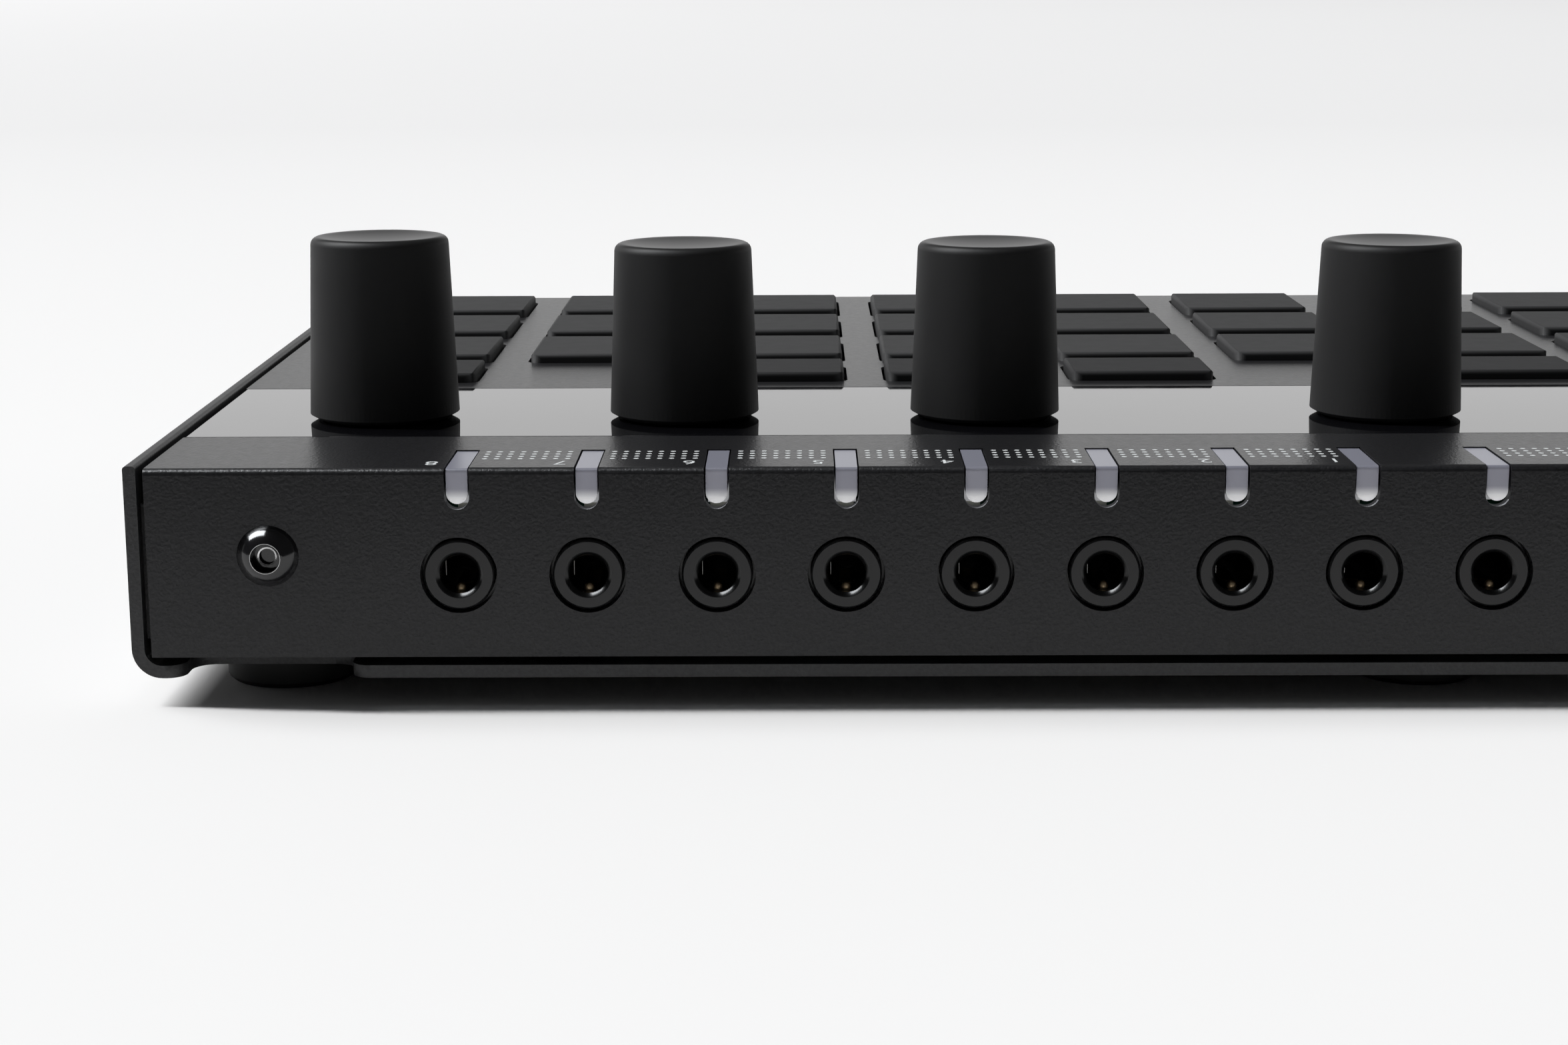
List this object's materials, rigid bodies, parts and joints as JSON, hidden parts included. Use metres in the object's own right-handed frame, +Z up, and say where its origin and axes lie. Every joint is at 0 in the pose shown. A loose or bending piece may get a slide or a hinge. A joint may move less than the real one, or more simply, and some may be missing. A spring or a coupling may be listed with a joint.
{
  "type": "step sequencer",
  "caption": "Low black desktop step sequencer: bent sheet-metal case, rear row of mini jacks with light guides, glossy strip with knobs, and a field of pressable pads.",
  "frame": {"origin": "on the table, under the middle of the case", "axes": "+X to the player's right along the case's width, -Y towards the player, +Z up"},
  "size_m": [0.3446, 0.1328, 0.0411],
  "materials": {
    "panel_paint": "satin black powder coat with a fine texture",
    "tray_paint": "satin black powder coat with a fine texture",
    "strip_acrylic": "polished black acrylic",
    "display_glass": "dark display glass",
    "board_laminate": "green solder mask",
    "jack_plastic": "black moulded plastic",
    "contact_bronze": "spring bronze",
    "guide_acrylic": "milky light-guide acrylic",
    "led_lens": "LED package",
    "plated_steel": "nickel plated",
    "black_steel": "glossy black finish",
    "black_oxide": "matt black oxide",
    "dome_rubber": "grey contact rubber",
    "switch_plastic": "black moulded plastic",
    "foot_rubber": "matt black rubber",
    "knob_soft_touch": "soft-touch black",
    "key_silicone": "matt black silicone",
    "pad_silicone": "matt black silicone"
  },
  "bodies": {
    "chassis": {"bottom_tray": "tray_paint", "rear_panel": "panel_paint", "pad_panel": "panel_paint", "control_strip": "strip_acrylic", "display_module": "display_glass", "main_board": "board_laminate", "jack_board": "board_laminate", "led_board": "board_laminate", "jack_sockets": "jack_plastic", "jack_contacts": "contact_bronze", "light_guides": "guide_acrylic", "status_leds": "led_lens", "encoder_bodies": "plated_steel", "encoder_nuts": "black_oxide", "dome_sheet": "dome_rubber", "board_connector": "switch_plastic", "usb_socket": "plated_steel", "power_switch_body": "switch_plastic", "standoffs": "plated_steel", "case_screws": "black_steel", "bottom_screws": "black_steel", "rubber_feet": "foot_rubber"},
    "power_switch": {"switch_lever": "switch_plastic"},
    "encoder_1": {"knob_1": "knob_soft_touch", "encoder_shaft_1": "plated_steel"},
    "encoder_2": {"knob_2": "knob_soft_touch", "encoder_shaft_2": "plated_steel"},
    "encoder_3": {"knob_3": "knob_soft_touch", "encoder_shaft_3": "plated_steel"},
    "encoder_4": {"knob_4": "knob_soft_touch", "encoder_shaft_4": "plated_steel"},
    "key_01": {"function_key_01": "key_silicone"},
    "key_02": {"function_key_02": "key_silicone"},
    "key_03": {"function_key_03": "key_silicone"},
    "key_04": {"function_key_04": "key_silicone"},
    "key_05": {"function_key_05": "key_silicone"},
    "key_06": {"function_key_06": "key_silicone"},
    "key_07": {"function_key_07": "key_silicone"},
    "key_08": {"function_key_08": "key_silicone"},
    "key_09": {"function_key_09": "key_silicone"},
    "key_10": {"function_key_10": "key_silicone"},
    "key_11": {"function_key_11": "key_silicone"},
    "key_12": {"function_key_12": "key_silicone"},
    "pads_01": {"pad_strip_01": "pad_silicone"},
    "pads_02": {"pad_strip_02": "pad_silicone"},
    "pads_03": {"pad_strip_03": "pad_silicone"},
    "pads_04": {"pad_strip_04": "pad_silicone"},
    "pads_05": {"pad_strip_05": "pad_silicone"},
    "pads_06": {"pad_strip_06": "pad_silicone"},
    "pads_07": {"pad_strip_07": "pad_silicone"},
    "pads_08": {"pad_strip_08": "pad_silicone"},
    "pads_09": {"pad_strip_09": "pad_silicone"},
    "pads_10": {"pad_strip_10": "pad_silicone"},
    "pads_11": {"pad_strip_11": "pad_silicone"},
    "pads_12": {"pad_strip_12": "pad_silicone"},
    "pads_13": {"pad_strip_13": "pad_silicone"},
    "pads_14": {"pad_strip_14": "pad_silicone"},
    "pads_15": {"pad_strip_15": "pad_silicone"},
    "pads_16": {"pad_strip_16": "pad_silicone"}
  },
  "joints": [
    {"name": "power_switch_slide", "type": "slide", "parent": "chassis", "child": "power_switch", "axis": [1, 0, 0], "range_m": [0, 0.0025]},
    {"name": "encoder_1_turn", "type": "hinge", "parent": "chassis", "child": "encoder_1", "pos_m": [0.15235, 0.0356, 0.0225], "axis": [0, 0, 1], "continuous": true},
    {"name": "encoder_2_turn", "type": "hinge", "parent": "chassis", "child": "encoder_2", "pos_m": [0.1216, 0.0356, 0.0225], "axis": [0, 0, 1], "continuous": true},
    {"name": "encoder_3_turn", "type": "hinge", "parent": "chassis", "child": "encoder_3", "pos_m": [0.09085, 0.0356, 0.0225], "axis": [0, 0, 1], "continuous": true},
    {"name": "encoder_4_turn", "type": "hinge", "parent": "chassis", "child": "encoder_4", "pos_m": [0.04985, 0.0356, 0.0225], "axis": [0, 0, 1], "continuous": true},
    {"name": "key_01_press", "type": "slide", "parent": "chassis", "child": "key_01", "axis": [0, 0, -1], "range_m": [0, 0.0008], "stiffness_N_per_m": 1500, "springref_m": -0.0003},
    {"name": "key_02_press", "type": "slide", "parent": "chassis", "child": "key_02", "axis": [0, 0, -1], "range_m": [0, 0.0008], "stiffness_N_per_m": 1500, "springref_m": -0.0003},
    {"name": "key_03_press", "type": "slide", "parent": "chassis", "child": "key_03", "axis": [0, 0, -1], "range_m": [0, 0.0008], "stiffness_N_per_m": 1500, "springref_m": -0.0003},
    {"name": "key_04_press", "type": "slide", "parent": "chassis", "child": "key_04", "axis": [0, 0, -1], "range_m": [0, 0.0008], "stiffness_N_per_m": 1500, "springref_m": -0.0003},
    {"name": "key_05_press", "type": "slide", "parent": "chassis", "child": "key_05", "axis": [0, 0, -1], "range_m": [0, 0.0008], "stiffness_N_per_m": 1500, "springref_m": -0.0003},
    {"name": "key_06_press", "type": "slide", "parent": "chassis", "child": "key_06", "axis": [0, 0, -1], "range_m": [0, 0.0008], "stiffness_N_per_m": 1500, "springref_m": -0.0003},
    {"name": "key_07_press", "type": "slide", "parent": "chassis", "child": "key_07", "axis": [0, 0, -1], "range_m": [0, 0.0008], "stiffness_N_per_m": 1500, "springref_m": -0.0003},
    {"name": "key_08_press", "type": "slide", "parent": "chassis", "child": "key_08", "axis": [0, 0, -1], "range_m": [0, 0.0008], "stiffness_N_per_m": 1500, "springref_m": -0.0003},
    {"name": "key_09_press", "type": "slide", "parent": "chassis", "child": "key_09", "axis": [0, 0, -1], "range_m": [0, 0.0008], "stiffness_N_per_m": 1500, "springref_m": -0.0003},
    {"name": "key_10_press", "type": "slide", "parent": "chassis", "child": "key_10", "axis": [0, 0, -1], "range_m": [0, 0.0008], "stiffness_N_per_m": 1500, "springref_m": -0.0003},
    {"name": "key_11_press", "type": "slide", "parent": "chassis", "child": "key_11", "axis": [0, 0, -1], "range_m": [0, 0.0008], "stiffness_N_per_m": 1500, "springref_m": -0.0003},
    {"name": "key_12_press", "type": "slide", "parent": "chassis", "child": "key_12", "axis": [0, 0, -1], "range_m": [0, 0.0008], "stiffness_N_per_m": 1500, "springref_m": -0.0003},
    {"name": "pads_01_press", "type": "slide", "parent": "chassis", "child": "pads_01", "axis": [0, 0, -1], "range_m": [0, 0.0008], "stiffness_N_per_m": 2500, "springref_m": -0.0003},
    {"name": "pads_02_press", "type": "slide", "parent": "chassis", "child": "pads_02", "axis": [0, 0, -1], "range_m": [0, 0.0008], "stiffness_N_per_m": 2500, "springref_m": -0.0003},
    {"name": "pads_03_press", "type": "slide", "parent": "chassis", "child": "pads_03", "axis": [0, 0, -1], "range_m": [0, 0.0008], "stiffness_N_per_m": 2500, "springref_m": -0.0003},
    {"name": "pads_04_press", "type": "slide", "parent": "chassis", "child": "pads_04", "axis": [0, 0, -1], "range_m": [0, 0.0008], "stiffness_N_per_m": 2500, "springref_m": -0.0003},
    {"name": "pads_05_press", "type": "slide", "parent": "chassis", "child": "pads_05", "axis": [0, 0, -1], "range_m": [0, 0.0008], "stiffness_N_per_m": 2500, "springref_m": -0.0003},
    {"name": "pads_06_press", "type": "slide", "parent": "chassis", "child": "pads_06", "axis": [0, 0, -1], "range_m": [0, 0.0008], "stiffness_N_per_m": 2500, "springref_m": -0.0003},
    {"name": "pads_07_press", "type": "slide", "parent": "chassis", "child": "pads_07", "axis": [0, 0, -1], "range_m": [0, 0.0008], "stiffness_N_per_m": 2500, "springref_m": -0.0003},
    {"name": "pads_08_press", "type": "slide", "parent": "chassis", "child": "pads_08", "axis": [0, 0, -1], "range_m": [0, 0.0008], "stiffness_N_per_m": 2500, "springref_m": -0.0003},
    {"name": "pads_09_press", "type": "slide", "parent": "chassis", "child": "pads_09", "axis": [0, 0, -1], "range_m": [0, 0.0008], "stiffness_N_per_m": 2500, "springref_m": -0.0003},
    {"name": "pads_10_press", "type": "slide", "parent": "chassis", "child": "pads_10", "axis": [0, 0, -1], "range_m": [0, 0.0008], "stiffness_N_per_m": 2500, "springref_m": -0.0003},
    {"name": "pads_11_press", "type": "slide", "parent": "chassis", "child": "pads_11", "axis": [0, 0, -1], "range_m": [0, 0.0008], "stiffness_N_per_m": 2500, "springref_m": -0.0003},
    {"name": "pads_12_press", "type": "slide", "parent": "chassis", "child": "pads_12", "axis": [0, 0, -1], "range_m": [0, 0.0008], "stiffness_N_per_m": 2500, "springref_m": -0.0003},
    {"name": "pads_13_press", "type": "slide", "parent": "chassis", "child": "pads_13", "axis": [0, 0, -1], "range_m": [0, 0.0008], "stiffness_N_per_m": 2500, "springref_m": -0.0003},
    {"name": "pads_14_press", "type": "slide", "parent": "chassis", "child": "pads_14", "axis": [0, 0, -1], "range_m": [0, 0.0008], "stiffness_N_per_m": 2500, "springref_m": -0.0003},
    {"name": "pads_15_press", "type": "slide", "parent": "chassis", "child": "pads_15", "axis": [0, 0, -1], "range_m": [0, 0.0008], "stiffness_N_per_m": 2500, "springref_m": -0.0003},
    {"name": "pads_16_press", "type": "slide", "parent": "chassis", "child": "pads_16", "axis": [0, 0, -1], "range_m": [0, 0.0008], "stiffness_N_per_m": 2500, "springref_m": -0.0003}
  ]
}
